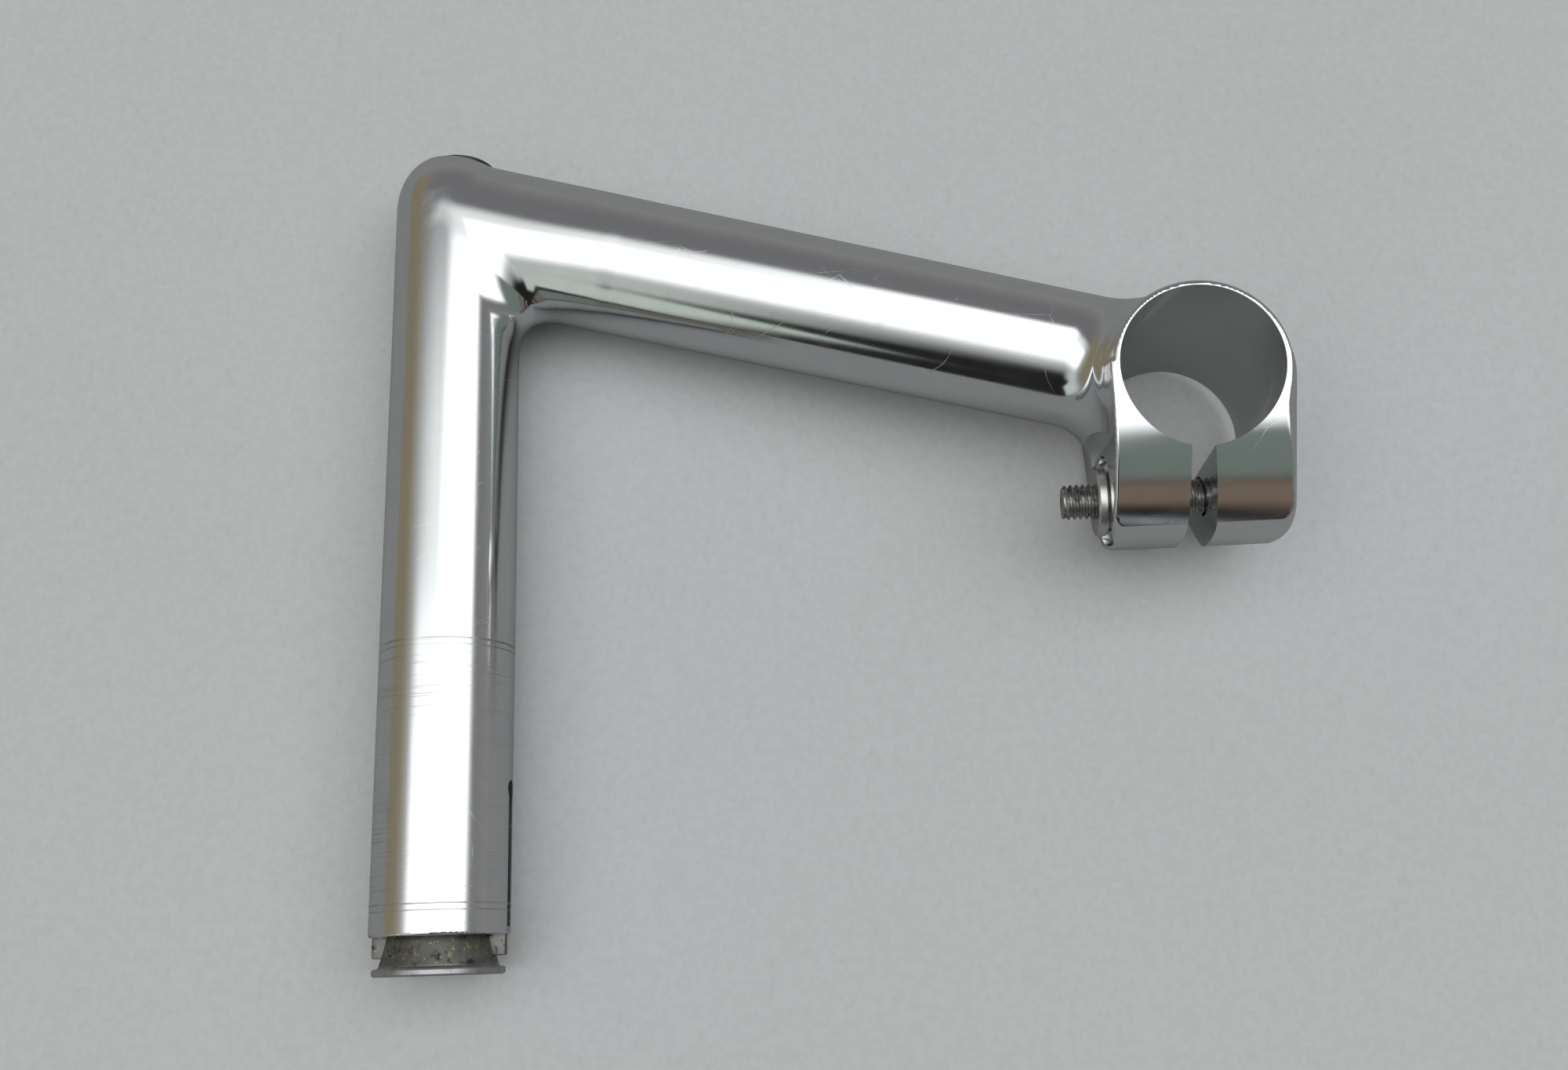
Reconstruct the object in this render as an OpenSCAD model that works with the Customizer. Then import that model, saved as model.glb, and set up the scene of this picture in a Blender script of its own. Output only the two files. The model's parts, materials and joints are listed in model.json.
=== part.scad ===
// Forged quill stem for a road bicycle: the handlebar clamp, its extension and the quill are one
// forging. An expander cone locks the quill in the steerer, and a clamp bolt locks the handlebar.
// Frame: +Z up along the quill axis, +X forward along the extension, +Y along the handlebar.
// The origin is on the quill axis at the minimum-insertion mark.

/* [Quill] */
// Outer diameter of the quill, the fit in the steerer
quill_d = 22.2; // [21.1:0.1:22.2]
// Length of quill below the minimum-insertion mark
quill_below_mark = 45; // [40:1:60]
// Length of full-diameter quill above the mark; above that it is polished slightly thinner
quill_above_mark = 52; // [40:1:54]
// Diameter of the long bore in the quill
quill_bore_d = 16.8; // [16:0.1:16.8]
// Length of the two expansion slots, up to the centre of their relief holes
quill_slot_len = 22.8; // [18:0.2:30]
// Width of the expansion slots
quill_slot_w = 2.0; // [1.5:0.1:2.4]

/* [Extension] */
// Height of the extension axis above the mark, at the quill
ext_height = 78; // [70:1:100]
// Length of the extension axis, quill axis to clamp
ext_len = 130; // [90:5:140]
// Angle between the quill and the extension
ext_angle = 74; // [70:1:80]
// Diameter of the extension where it leaves the quill
ext_root_d = 25.0; // [24:0.2:25.4]
// Diameter of the extension at the clamp
ext_tip_d = 22.8; // [21.6:0.2:24]

/* [Handlebar clamp] */
// Diameter of the handlebar bore
bar_d = 26.0; // [25.4:0.1:26.4]
// Width of the clamp along the handlebar
clamp_w = 38; // [34:1:40]
// Distance of the bore centre below the end of the extension axis
clamp_drop = 3.7; // [3:0.1:4.4]
// Wall of the clamp ring at its two faces
ring_face_wall = 1.2; // [1:0.1:1.6]
// Extra wall of the clamp ring at its middle
ring_crown = 2.6; // [2:0.1:3]
// Width of the slot between the ears at the bore
ear_slot_w = 3.7; // [3:0.1:4]
// Distance of the clamp bolt below the bore centre
clamp_bolt_drop = 16.7; // [16.6:0.1:17.6]

/* [Fasteners] */
// Distance that the cone can still rise before it touches the quill
cone_lift = 1.85; // [1.7:0.05:2.5]
// Distance that the cone's rim stands below the quill at rest
cone_rim_below = 6.0; // [5.8:0.1:8]
// Gap between the clamp nut and its seat at rest
clamp_nut_gap = 1.3; // [0.5:0.1:1.4]

/* [Hidden] */
$fn = 96;
cut = 0.5;                                  // how far a cut runs past the face that it opens

// Quill and head
quill_r = quill_d / 2;
quill_end_z = -quill_below_mark;
quill_edge = 0.4;                           // chamfer at the quill's lower edge
neck_r = quill_r - 0.2;                     // polished neck between the full diameter and the extension
mouth_chamfer = 0.8;                        // chamfer at the mouth of the quill's bore
slot_relief_r = 1.5;
head_z = ext_height + 3.1;                  // centre of the head's round top
shoulder_z = ext_height - 17;               // top of the long bore
bolt_passage_r = 4.3;
head_seat_z = ext_height + 2.8;             // floor of the counterbore for the expander bolt's head
head_pocket_r = 7.2;

// Extension and clamp
ext_root_r = ext_root_d / 2;
ext_tip_r = ext_tip_d / 2;
tip_x = ext_len * sin(ext_angle);
tip_z = ext_height - ext_len * cos(ext_angle);
bar_r = bar_d / 2;
bore_x = tip_x;
bore_z = tip_z - clamp_drop;
ring_face_r = bar_r + ring_face_wall;
ring_bevel = 0.5;                           // bevel where the ring's faces meet its crown
crown_half = clamp_w / 2 - ring_bevel;
crown_r = (crown_half * crown_half + ring_crown * ring_crown) / (2 * ring_crown);
swell_len = 10;                             // the extension grows from the quill's width over this
fall = 90 - ext_angle;                      // how far the extension falls below level
corner_w = 9;                               // fillet inside the corner of quill and extension
corner_r = 6;
corner_sink = 0.5;                          // how far the fillets' arcs end inside the surfaces they join
web_w = 12;                                 // web between the extension and the rear ear
web_rear_x = -15.3;
web_fillet_r = 6;

// Ears, in the clamp's frame: the origin is the bore centre
ear_slot_x = -0.7;                          // middle of the slot at the bore
ear_slot_flare = 1.4;                       // the front ear stands this much further off at its foot
ear_rear_x = -14.4;
ear_front_x = 18;                           // front face of the ears, carried up to the bore centre
ear_front_top_x = 16.4;                     // where the front of the ears runs into the ring
ear_front_foot_x = 15.2;                    // front of the ears at their foot
ear_lean = 6.8;                             // the front face leans back toward the foot
ear_front_crown_r = 39;                     // crown of the front face, seen from above
ear_foot_z = -24.3;
ear_foot_bevel = 1.6;
ear_side_r = 42.3;                           // the sides curve in toward the foot on this radius
ear_side_y = -19.8;
ear_side_z = 9.4;
nut_seat_x = -13.1;                         // floor of the spot face behind the rear ear
seat_pocket_r = 11;

// Clamp bolt, M6, and its nut
m6_r = 3;
m6_hole_r = 3.3;
m6_head_r = 5;
m6_head_h = 6;
m6_pocket_r = 5.25;
m6_seat_x = 8.1;                            // floor of the pocket for the bolt's head
m6_len = 29.5;
m6_tap_gap = 0.05;                          // running clearance in the nut's thread
nut_flange_r = 5.9;
nut_flange_t = 1.7;
nut_shank_r = 4;
nut_shank_len = 8;
nut_fit = 0.08;
nut_hole_end_x = -4.6;                      // floor of the shank's hole in the rear ear
nut_key_w = 2;
nut_key_h = 1;

// Expander bolt, M8, its washer and its cone
m8_r = 4;
m8_head_r = 6.5;
m8_head_h = 8;
m8_tap_gap = 0.05;
m8_end_in_cone = 1.5;                       // the bolt ends this far above the cone's rim
washer_t = 1.2;
washer_r = 6.9;
bolt_seat_z = head_seat_z + washer_t;
cone_rim_r = 10.4;
cone_rim_t = 1.2;
cone_taper = 15;                            // half angle of the cone
cone_base_r = quill_bore_d / 2 + (mouth_chamfer + cone_rim_below - cone_rim_t - cone_lift) * tan(cone_taper);
cone_h = 14;                                // from the rim to the cone's small end
cone_top_r = cone_base_r - (cone_h - cone_rim_t) * tan(cone_taper);
cone_z = quill_end_z - cone_rim_below;
cone_key_w = quill_slot_w - 0.2;
cone_key_r = quill_r - 0.3;
cone_key_h = 4.6;
m8_end_z = cone_z + m8_end_in_cone;

// Puts its children in the clamp's frame
module at_clamp() {
    translate([bore_x, 0, bore_z]) children();
}

// Puts its children on the clamp bolt's axis, with +Z turned to face forward
module on_clamp_bolt() {
    at_clamp() translate([0, 0, -clamp_bolt_drop]) rotate([0, 90, 0]) children();
}

// An extrusion of width w, centred across the handlebar direction, from a profile in X and Z
module across(w) {
    rotate([90, 0, 0]) linear_extrude(height = w, center = true) children();
}

// A hexagonal socket of key size s and depth d, open upward at the origin
module hex_socket(s, d) {
    translate([0, 0, -d]) cylinder(h = d + cut, r = s / sqrt(3), $fn = 6);
}

module quill_outside() {
    translate([0, 0, quill_end_z]) cylinder(h = quill_edge, r1 = quill_r - quill_edge, r2 = quill_r);
    translate([0, 0, quill_end_z + quill_edge])
        cylinder(h = quill_above_mark - quill_end_z - quill_edge, r = quill_r);
    translate([0, 0, quill_above_mark]) cylinder(h = head_z - quill_above_mark, r = neck_r);
    translate([0, 0, head_z]) sphere(r = neck_r);
}

module extension_outside() {
    translate([0, 0, ext_height]) rotate([0, 180 - ext_angle, 0]) {
        cylinder(h = swell_len, r1 = neck_r, r2 = ext_root_r);
        translate([0, 0, swell_len]) cylinder(h = ext_len - swell_len, r1 = ext_root_r, r2 = ext_tip_r);
    }
}

// The fillet profile between two lines that meet at an open corner, with an arc of radius r.
// The corner is the origin, one line runs toward angle a and the other toward angle b.
// The arc sinks a little below both lines, so that it meets them at a clear angle.
module corner_fill(a, b, r) {
    half = (b - a) / 2;
    mid = (a + b) / 2;
    reach = r / tan(half);
    back = 3;
    rotate(mid) translate([-corner_sink / sin(half), 0]) difference() {
        polygon([
            [-back, 0], [reach * cos(half), -reach * sin(half)],
            [reach, 0], [reach * cos(half), reach * sin(half)]
        ]);
        translate([r / sin(half), 0]) circle(r = r);
    }
}

// Fillet between the quill and the underside of the extension
module inner_corner() {
    corner_z = ext_height - ext_root_r / cos(fall) - neck_r * tan(fall);
    across(corner_w) translate([neck_r, corner_z]) corner_fill(-90, -fall, corner_r);
}

// The ring about the handlebar bore: an arc-crowned wall with bevelled faces
module ring_outside() {
    rotate([90, 0, 0]) rotate_extrude() {
        intersection() {
            translate([0, -crown_half]) square([ring_face_r + ring_crown + 1, 2 * crown_half]);
            translate([ring_face_r + ring_crown - crown_r, 0]) circle(r = crown_r, $fn = 240);
        }
        translate([0, -clamp_w / 2]) square([ring_face_r - ring_bevel, clamp_w]);
    }
}

// The ears seen along the handlebar, with both lower corners bevelled
module ear_side() {
    polygon([
        [ear_rear_x, 0], [ear_rear_x, ear_foot_z + ear_foot_bevel],
        [ear_rear_x + ear_foot_bevel, ear_foot_z], [ear_front_foot_x - ear_foot_bevel, ear_foot_z],
        [ear_front_x, ear_foot_z + ear_front_x - ear_front_foot_x + ear_foot_bevel],
        [ear_front_x, -5], [ear_front_top_x, 0]
    ]);
}

// The ears seen along their length: both sides curve in toward the foot
module ear_face() {
    intersection_for(side = [1, -1])
        translate([side * ear_side_y, ear_side_z]) circle(r = ear_side_r, $fn = 240);
}

// The crowned front face of the ears, as a cylinder that leans back toward the foot
module ear_front() {
    translate([ear_front_x, 0, 0]) rotate([0, ear_lean, 0])
        translate([-ear_front_crown_r, 0, -40]) cylinder(h = 60, r = ear_front_crown_r, $fn = 240);
}

// The two ears as one block
module ears_outside() {
    intersection() {
        across(clamp_w) ear_side();
        rotate([90, 0, 90]) linear_extrude(height = 60, center = true) ear_face();
        ear_front();
    }
}

// Web from the underside of the extension to the rear ear
module neck_web() {
    corner_z = clamp_drop - ext_tip_r / cos(fall) - web_rear_x * tan(fall);
    across(web_w) {
        translate([web_rear_x, corner_z]) corner_fill(180 - fall, 270, web_fillet_r);
        translate([web_rear_x, -clamp_bolt_drop]) square([-web_rear_x, clamp_bolt_drop + corner_z + 2]);
    }
}

module quill_inside() {
    translate([0, 0, quill_end_z - cut]) cylinder(h = shoulder_z - quill_end_z + cut, r = quill_bore_d / 2);
    translate([0, 0, quill_end_z - cut]) cylinder(
        h = mouth_chamfer + cut,
        r1 = quill_bore_d / 2 + mouth_chamfer + cut,
        r2 = quill_bore_d / 2
    );
    translate([0, 0, shoulder_z - cut]) cylinder(h = head_seat_z - shoulder_z + 2 * cut, r = bolt_passage_r);
    translate([0, 0, head_seat_z]) cylinder(h = 30, r = head_pocket_r);
}

module quill_slots() {
    for (side = [0, 180]) rotate([0, 0, side]) {
        translate([0, -quill_slot_w / 2, quill_end_z - cut]) cube([quill_r + 1, quill_slot_w, quill_slot_len + cut]);
        translate([0, 0, quill_end_z + quill_slot_len]) rotate([0, 90, 0]) cylinder(h = quill_r + 1, r = slot_relief_r);
    }
}

// Everything cut from the clamp: the handlebar bore, the slot, and the bolt's holes and seats
module clamp_inside() {
    at_clamp() {
        rotate([90, 0, 0]) cylinder(h = clamp_w + 2, r = bar_r, center = true);
        across(2 * clamp_w) polygon([
            [ear_slot_x - ear_slot_w / 2, 0], [ear_slot_x - ear_slot_w / 2, ear_foot_z - cut],
            [ear_slot_x + ear_slot_w / 2 + ear_slot_flare, ear_foot_z - cut],
            [ear_slot_x + ear_slot_w / 2, -bar_r], [ear_slot_x + ear_slot_w / 2, 0]
        ]);
    }
    on_clamp_bolt() {
        translate([0, 0, nut_seat_x - cut])
            cylinder(h = nut_hole_end_x - nut_seat_x + cut, r = nut_shank_r + nut_fit);
        translate([0, -nut_key_w / 2 - nut_fit, nut_seat_x - cut])
            cube([nut_shank_r + nut_key_h + nut_fit, nut_key_w + 2 * nut_fit, nut_hole_end_x - nut_seat_x + cut]);
        translate([0, 0, nut_hole_end_x - cut]) cylinder(h = m6_seat_x - nut_hole_end_x + 2 * cut, r = m6_hole_r);
        translate([0, 0, m6_seat_x]) cylinder(h = ear_front_x, r = m6_pocket_r);
        translate([0, 0, nut_seat_x - 30]) cylinder(h = 30, r = seat_pocket_r);
    }
}

module stem_body() {
    color("silver") difference() {
        union() {
            quill_outside();
            extension_outside();
            inner_corner();
            at_clamp() {
                ring_outside();
                ears_outside();
                neck_web();
            }
        }
        quill_inside();
        quill_slots();
        clamp_inside();
    }
}

module expander_bolt() {
    color("dimgray") difference() {
        union() {
            translate([0, 0, bolt_seat_z]) cylinder(h = m8_head_h, r = m8_head_r);
            translate([0, 0, m8_end_z]) cylinder(h = bolt_seat_z - m8_end_z, r = m8_r);
        }
        translate([0, 0, bolt_seat_z + m8_head_h]) hex_socket(6, 5);
    }
}

module expander_washer() {
    color("gray") translate([0, 0, head_seat_z]) difference() {
        cylinder(h = washer_t, r = washer_r);
        translate([0, 0, -cut]) cylinder(h = washer_t + 2 * cut, r = m8_r + 0.3);
    }
}

module expander_cone() {
    color("darkgray") translate([0, 0, cone_z]) difference() {
        union() {
            cylinder(h = cone_rim_t, r = cone_rim_r);
            translate([0, 0, cone_rim_t]) cylinder(h = cone_h - cone_rim_t, r1 = cone_base_r, r2 = cone_top_r);
            translate([-cone_key_r, -cone_key_w / 2, cone_rim_t + 1.6]) cube([2 * cone_key_r, cone_key_w, cone_key_h]);
        }
        translate([0, 0, -cut]) cylinder(h = cone_h + 2 * cut, r = m8_r + m8_tap_gap);
    }
}

module clamp_bolt() {
    color("slategray") on_clamp_bolt() difference() {
        union() {
            translate([0, 0, m6_seat_x]) cylinder(h = m6_head_h, r = m6_head_r);
            translate([0, 0, m6_seat_x - m6_len]) cylinder(h = m6_len, r = m6_r);
        }
        translate([0, 0, m6_seat_x + m6_head_h]) hex_socket(5, 3);
    }
}

module clamp_nut() {
    front = nut_seat_x - clamp_nut_gap;
    color("lightgray") on_clamp_bolt() difference() {
        union() {
            translate([0, 0, front - nut_flange_t]) cylinder(h = nut_flange_t, r = nut_flange_r);
            translate([0, 0, front - cut]) cylinder(h = nut_shank_len + cut, r = nut_shank_r);
            translate([0, -nut_key_w / 2, front - cut])
                cube([nut_shank_r + nut_key_h, nut_key_w, nut_shank_len + cut]);
        }
        translate([0, 0, front - nut_flange_t - cut])
            cylinder(h = nut_flange_t + nut_shank_len + 2 * cut, r = m6_r + m6_tap_gap);
    }
}

stem_body();
expander_bolt();
expander_washer();
expander_cone();
clamp_bolt();
clamp_nut();
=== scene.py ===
"""A polished forged quill stem lying on a pale floor.

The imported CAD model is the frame. This script builds the stem's smooth forging and its
fasteners around it, gives each its material, and sets the floor, the lights and the camera.
Lengths in the shape functions are millimetres; meshes are made in metres.
"""

import json
import math

import bmesh
import bpy
import numpy as np
from mathutils import Matrix, Vector


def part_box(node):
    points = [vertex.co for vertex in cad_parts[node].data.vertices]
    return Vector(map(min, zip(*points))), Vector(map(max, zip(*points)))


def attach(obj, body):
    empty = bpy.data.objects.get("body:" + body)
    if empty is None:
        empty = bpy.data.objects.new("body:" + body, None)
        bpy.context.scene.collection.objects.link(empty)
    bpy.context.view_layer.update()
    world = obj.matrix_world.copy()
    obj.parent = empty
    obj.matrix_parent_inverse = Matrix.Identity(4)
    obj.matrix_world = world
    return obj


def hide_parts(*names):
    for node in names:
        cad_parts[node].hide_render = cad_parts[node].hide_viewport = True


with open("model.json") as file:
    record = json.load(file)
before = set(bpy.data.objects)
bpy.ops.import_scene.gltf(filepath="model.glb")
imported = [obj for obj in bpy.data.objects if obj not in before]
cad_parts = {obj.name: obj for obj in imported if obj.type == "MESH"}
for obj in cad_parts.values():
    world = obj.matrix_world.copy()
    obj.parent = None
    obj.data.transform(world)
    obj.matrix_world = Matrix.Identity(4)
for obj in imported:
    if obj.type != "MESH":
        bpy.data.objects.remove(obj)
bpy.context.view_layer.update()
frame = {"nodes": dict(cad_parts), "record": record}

MM = 0.001
mounts = {m["name"]: m for m in frame["record"]["mounts"]}


def box_mm(node):
    """The lowest and highest corner of a CAD node, in millimetres."""
    return tuple(np.array(corner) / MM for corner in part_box(node))


# ---------------------------------------------------------------- driving dimensions, millimetres

QUILL_R = mounts["quill"]["dims"]["r_mm"]
BAR_R = mounts["handlebar"]["dims"]["r_mm"]
BORE = np.array(mounts["handlebar"]["pos_m"]) / MM
CLAMP_HALF = mounts["handlebar"]["dims"]["length_mm"] / 2
QUILL_END = box_mm("stem_body")[0][2]
NECK_R = QUILL_R - 0.1

EXT_ANGLE = math.radians(74)
ALONG = np.array([math.sin(EXT_ANGLE), 0.0, -math.cos(EXT_ANGLE)])
ACROSS = np.array([math.cos(EXT_ANGLE), 0.0, math.sin(EXT_ANGLE)])
EXT_Z = 78.0
EXT_LEN = 130.0
EXT_ROOT_R = 12.5
EXT_TIP_R = 11.4
HEAD_Z = EXT_Z + 3.1

# slot between the ears, bolt seats and nut recess; names ending in X or Z, and the slot's three X values,
# are offsets from the bore's axis, except BOLT_Z, which is a height in the frame
BOLT_Z = BORE[2] - 16.7
SLOT_REAR, SLOT_FRONT, SLOT_FOOT = -2.5, 1.16, 2.7
SLOT_BEND_Z, SLOT_FOOT_Z = -12.5, -30
EAR_REAR_X = -14.4
NUT_SEAT_X, NUT_SEAT_R = -13.1, 7.5
RECESS_R, RECESS_STRETCH = 11.0, 1.35
NUT_HOLE_START_X, NUT_HOLE_END_X, NUT_HOLE_R = -14, -4.6, 4.08
NUT_KEY_HALF, NUT_KEY_REACH = 1.08, 5.08
SCREW_HOLE_R = 3.3
HEAD_SEAT_X, HEAD_POCKET_R = 8.1, 5.25

# inside the quill
QUILL_BORE_R = 8.4
PASSAGE_R, COUNTERBORE_R = 4.3, 7.0
MOUTH_R, MOUTH_DEPTH = 10.2, 0.8
QUILL_SLOT_HALF, QUILL_SLOT_LEN, SLOT_END_R = 1.0, 22.8, 1.5


# ---------------------------------------------------------------- the forging as a distance field

def smooth_step(x):
    x = np.clip(x, 0, 1)
    return x * x * (3 - 2 * x)


def blend(a, b, k):
    """The union of two fields, filleted over the width k."""
    k = np.maximum(k, 1e-4)
    h = np.clip(0.5 + 0.5 * (b - a) / k, 0, 1)
    return b + (a - b) * h - k * h * (1 - h)


def round_edge(a, b, r):
    """The intersection of two fields, its edge rounded to radius r."""
    u, v = np.maximum(a + r, 0), np.maximum(b + r, 0)
    return np.minimum(np.maximum(a, b), -r) + np.hypot(u, v)


def quill_field(x, y, z):
    """The quill, which narrows a little toward its round head; the head leans forward."""
    tilt = 0.14 * x * np.clip((z - HEAD_Z) / NECK_R, 0, 1)
    over = np.maximum(z + tilt - HEAD_Z, 0)
    radius = QUILL_R - (QUILL_R - NECK_R) * smooth_step((z - 5) / 60)
    side = np.sqrt(x * x + y * y + over * over) - radius
    return round_edge(side, QUILL_END - z, 0.4)


def bridge_field(x, y, z):
    """The straight run from the round head down onto the top of the extension."""
    start, end = np.array((0.5, 0.0, 79.9)), np.array((28.8, 0.0, 69.7))
    start_r, end_r = 10.6, 11.7
    d = end - start
    t = np.clip(((x - start[0]) * d[0] + (z - start[2]) * d[2]) / (d @ d), 0, 1)
    away = np.sqrt((x - start[0] - t * d[0]) ** 2 + y * y + (z - start[2] - t * d[2]) ** 2)
    return away - start_r - (end_r - start_r) * t


def extension_field(x, y, z):
    t = x * ALONG[0] + (z - EXT_Z) * ALONG[2]
    v = x * ACROSS[0] + (z - EXT_Z) * ACROSS[2]
    tall = EXT_ROOT_R + (EXT_TIP_R - EXT_ROOT_R) * t / EXT_LEN
    wide = tall - 1.5 * (1 - smooth_step(t / 30))
    back = 1.5 * np.maximum(-t, 0)
    p = np.sqrt((v / tall) ** 2 + (y / wide) ** 2 + (back / tall) ** 2)
    q = np.sqrt((v / tall**2) ** 2 + (y / wide**2) ** 2 + (back / tall**2) ** 2)
    return np.maximum(p * (p - 1) / np.maximum(q, 1e-6), t - EXT_LEN)


def clamp_field(x, y, z):
    """The ring and the ears, seen from the bore's centre."""
    crown_r, ring_top = 62.0, BAR_R + 3.8
    ring = np.hypot(np.hypot(x, z) - (ring_top - crown_r), y) - crown_r
    # the side faces are flat beside the bore and curve inward down the ears
    sides = np.hypot(np.abs(y) + 19.9, np.minimum(z - 9.4, 0)) - 42.15
    sides = round_edge(sides, np.abs(y) - CLAMP_HALF, 4.0)
    lean, front_r = math.radians(6.8), 39.0
    front = (x - 18.0) * math.cos(lean) - z * math.sin(lean)
    front = np.hypot(front + front_r, y) - front_r
    foot = np.where(z < 0, np.hypot(y, z - 5.6) - 30.0, -10.0)
    outline = np.maximum(round_edge(front, foot, 2.2), round_edge(EAR_REAR_X - x, foot, 1.6))
    return round_edge(blend(ring, np.maximum(outline, z - 1.0), 1.0), sides, 0.5)


def forging(x, y, z):
    """The whole outside of the forging, as a signed distance."""
    quill = quill_field(x, y, z)
    extension = extension_field(x, y, z)
    # the two tubes blend widely where they meet at an angle, and hardly where they lie flush
    v = x * ACROSS[0] + (z - EXT_Z) * ACROSS[2]
    around = np.sqrt(x * x + y * y) + 1e-6
    across = np.sqrt(v * v + y * y) + 1e-6
    flush = (x * v * ACROSS[0] + y * y) / (around * across)
    width = 0.3 + 8.0 * np.clip((1 - flush) / 1.28, 0, 1) * smooth_step((HEAD_Z + 2 - z) / 14)
    arm = blend(blend(quill, extension, width), bridge_field(x, y, z), 0.9)
    return blend(arm, clamp_field(x - BORE[0], y, z - BORE[2]), 5.0)


def gradient(field, p, h=0.02):
    g = np.empty_like(p)
    for axis in range(3):
        d = np.zeros(3)
        d[axis] = h
        g[:, axis] = (field(*(p + d).T) - field(*(p - d).T)) / (2 * h)
    return g


def surface_net(field, low, high, step, block=8):
    """Vertices and quads on the zero surface of a field, on a grid of the given step."""
    low = np.asarray(low, float)
    blocks = np.ceil((np.asarray(high) - low) / step / block).astype(int)
    size = blocks * block
    centre = [low[i] + step * (block * np.arange(blocks[i]) + (block - 1) / 2) for i in range(3)]
    coarse = field(*np.stack(np.meshgrid(*centre, indexing="ij"), -1).reshape(-1, 3).T)
    coarse = coarse.reshape(blocks)
    values = coarse.astype(np.float32)
    for axis in range(3):
        values = np.repeat(values, block, axis)
    near = np.argwhere(np.abs(coarse) < block * step * 1.3 + 0.6)
    inner = np.stack(np.meshgrid(*[np.arange(block)] * 3, indexing="ij"), -1).reshape(-1, 3)
    for start in range(0, len(near), 2000):
        index = (near[start : start + 2000, None] * block + inner).reshape(-1, 3)
        values[tuple(index.T)] = field(*(low + index * step).T)
    inside = values < 0
    cells, points, quads = [], [], []
    for axis in range(3):
        lower, upper = [slice(None)] * 3, [slice(None)] * 3
        lower[axis], upper[axis] = slice(0, -1), slice(1, None)
        start = np.argwhere(inside[tuple(lower)] != inside[tuple(upper)])
        u, w = (axis + 1) % 3, (axis + 2) % 3
        end = start.copy()
        end[:, axis] += 1
        a, b = values[tuple(start.T)], values[tuple(end.T)]
        crossing = start.astype(float)
        crossing[:, axis] += a / (a - b)
        corner = []
        for du, dw in ((0, 0), (-1, 0), (-1, -1), (0, -1)):
            cell = start.copy()
            cell[:, u] += du
            cell[:, w] += dw
            corner.append(np.ravel_multi_index(tuple(cell.T), size))
        corner = np.stack(corner, 1)
        quads.append(np.where((a < 0)[:, None], corner, corner[:, ::-1]))
        cells.append(corner.ravel())
        points.append(np.repeat(crossing, 4, 0))
    cells, points, quads = (np.concatenate(x) for x in (cells, points, quads))
    ids, inverse = np.unique(cells, return_inverse=True)
    count = np.bincount(inverse)
    verts = np.stack([np.bincount(inverse, points[:, i]) / count for i in range(3)], 1)
    return low + verts * step, np.searchsorted(ids, quads)


def settle(field, p, steps=4):
    """Moves points onto the zero surface of the field."""
    for _ in range(steps):
        g = gradient(field, p)
        p = p - (field(*p.T) / np.maximum((g * g).sum(1), 0.05))[:, None] * g
    return p


# ---------------------------------------------------------------- mesh helpers

def new_object(name, mesh):
    obj = bpy.data.objects.new(name, mesh)
    bpy.context.scene.collection.objects.link(obj)
    return obj


def mesh_object(name, verts_mm, faces):
    mesh = bpy.data.meshes.new(name)
    mesh.from_pydata(np.asarray(verts_mm) * MM, [], np.asarray(faces).tolist())
    mesh.update()
    return new_object(name, mesh)


def bmesh_object(name, bm):
    bmesh.ops.recalc_face_normals(bm, faces=bm.faces)
    mesh = bpy.data.meshes.new(name)
    bm.to_mesh(mesh)
    bm.free()
    return new_object(name, mesh)


def turned(name, profile, segments=96):
    """A solid turned about Z from a closed outline of (radius, height) points, in millimetres."""
    bm = bmesh.new()
    rings = []
    for r, z in profile:
        if r == 0:
            rings.append([bm.verts.new((0, 0, z * MM))])
            continue
        angles = [2 * math.pi * i / segments for i in range(segments)]
        points = [(r * MM * math.cos(a), r * MM * math.sin(a), z * MM) for a in angles]
        rings.append([bm.verts.new(point) for point in points])
    closed = profile[0][0] > 0 and profile[-1][0] > 0
    pairs = zip(rings, rings[1:] + rings[:1]) if closed else zip(rings, rings[1:])
    for a, b in pairs:
        for i in range(segments):
            j = (i + 1) % segments
            corners = [a[i % len(a)], a[j % len(a)], b[j % len(b)], b[i % len(b)]]
            bm.faces.new(list(dict.fromkeys(corners)))
    return bmesh_object(name, bm)


def rod_along(a, b, r, segments=96, slot=0):
    """A plain round cutter from point a to point b, in millimetres."""
    a, b = Vector(a), Vector(b)
    turn = (b - a).to_track_quat("Z", "Y").to_matrix().to_4x4()
    bm = bmesh.new()
    bmesh.ops.create_cone(
        bm, cap_ends=True, segments=segments, radius1=r * MM, radius2=r * MM, depth=(b - a).length * MM,
        matrix=Matrix.Translation((a + b) / 2 * MM) @ turn,
    )
    obj = bmesh_object("cutter", bm)
    obj.data.polygons.foreach_set("material_index", [slot] * len(obj.data.polygons))
    return obj


def prism(outline, lift, slot=0):
    """A cutter with a flat outline of points, extruded by the vector lift, in millimetres."""
    bm = bmesh.new()
    low = [bm.verts.new(Vector(p) * MM) for p in outline]
    high = [bm.verts.new((Vector(p) + Vector(lift)) * MM) for p in outline]
    bm.faces.new(low)
    bm.faces.new(high[::-1])
    for i in range(len(low)):
        j = (i + 1) % len(low)
        bm.faces.new([low[i], high[i], high[j], low[j]])
    obj = bmesh_object("cutter", bm)
    obj.data.polygons.foreach_set("material_index", [slot] * len(obj.data.polygons))
    return obj


def placed(obj, matrix):
    obj.data.transform(matrix)
    return obj


def remove(obj):
    mesh = obj.data
    bpy.data.objects.remove(obj)
    bpy.data.meshes.remove(mesh)


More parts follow.
